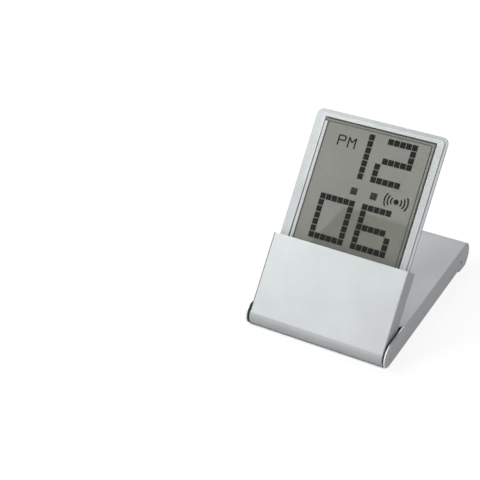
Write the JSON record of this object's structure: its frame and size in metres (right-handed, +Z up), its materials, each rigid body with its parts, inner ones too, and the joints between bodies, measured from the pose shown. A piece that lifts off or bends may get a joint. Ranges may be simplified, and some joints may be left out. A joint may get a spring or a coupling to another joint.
{
  "type": "folding alarm clock",
  "caption": "Folding travel alarm clock: a case with a digital display, hinged at its foot to a U-shaped metal cover that is its stand and folds flat over the display.",
  "frame": {"origin": "centre of the box round the open clock, on the surface it stands on", "axes": "+X to the right as seen from the display side, +Y to the rear along the stand, +Z up"},
  "size_m": [0.065, 0.1036, 0.083],
  "materials": {
    "satin_aluminium": "bead blasted, satin",
    "bright_steel": "bright",
    "dark_steel": "blackened",
    "clear_acrylic": "polished, clear",
    "lcd_glass": "polished",
    "reflector_foil": "matt foil",
    "black_nylon": "matt",
    "grey_plastic": "matt",
    "green_board": "solder mask",
    "pale_rubber": "matt",
    "amber_film": "thin film",
    "brass": "bright"
  },
  "bodies": {
    "stand": {"stand_channel": "satin_aluminium", "left_hinge_pin": "bright_steel", "left_hinge_washer": "black_nylon", "left_detent_pin": "dark_steel", "left_stop_rivet": "bright_steel", "right_hinge_pin": "bright_steel", "right_hinge_washer": "black_nylon", "right_detent_pin": "dark_steel", "right_stop_rivet": "bright_steel"},
    "clock_case": {"front_shell": "satin_aluminium", "back_shell": "satin_aluminium", "left_hinge_bush": "brass", "right_hinge_bush": "brass", "display_frame": "clear_acrylic", "display_lens": "clear_acrylic", "lcd_front_glass": "lcd_glass", "lcd_rear_glass": "lcd_glass", "lcd_reflector": "reflector_foil", "display_back_plate": "satin_aluminium", "display_gasket": "black_nylon", "circuit_board": "green_board", "lcd_ribbon": "amber_film", "key_pad": "pale_rubber", "alarm_sounder": "brass", "coin_cell": "bright_steel", "battery_leaf_contact": "brass", "battery_rim_contact": "brass", "case_screw_1": "bright_steel", "case_screw_2": "bright_steel", "case_screw_3": "bright_steel", "case_screw_4": "bright_steel"},
    "mode_button": {"mode_button": "grey_plastic"},
    "hour_button": {"hour_button": "grey_plastic"},
    "minute_button": {"minute_button": "grey_plastic"},
    "alarm_button": {"alarm_button": "grey_plastic"},
    "battery_door": {"battery_door": "grey_plastic"}
  },
  "joints": [
    {"name": "case_fold", "type": "hinge", "parent": "stand", "child": "clock_case", "pos_m": [0, -0.04641, 0.00528], "axis": [1, 0, 0], "range_deg": [0, 303]},
    {"name": "mode_press", "type": "slide", "parent": "clock_case", "child": "mode_button", "axis": [0, -0.8307, 0.5567], "range_m": [0, 0.0005], "stiffness_N_per_m": 250},
    {"name": "hour_press", "type": "slide", "parent": "clock_case", "child": "hour_button", "axis": [0, -0.8307, 0.5567], "range_m": [0, 0.0005], "stiffness_N_per_m": 250},
    {"name": "minute_press", "type": "slide", "parent": "clock_case", "child": "minute_button", "axis": [0, -0.8307, 0.5567], "range_m": [0, 0.0005], "stiffness_N_per_m": 250},
    {"name": "alarm_press", "type": "slide", "parent": "clock_case", "child": "alarm_button", "axis": [0, -0.8307, 0.5567], "range_m": [0, 0.0005], "stiffness_N_per_m": 250},
    {"name": "door_turn", "type": "hinge", "parent": "clock_case", "child": "battery_door", "pos_m": [-0.0145, -0.03426, 0.01586], "axis": [0, 0.8307, -0.5567], "range_deg": [0, 40]}
  ]
}
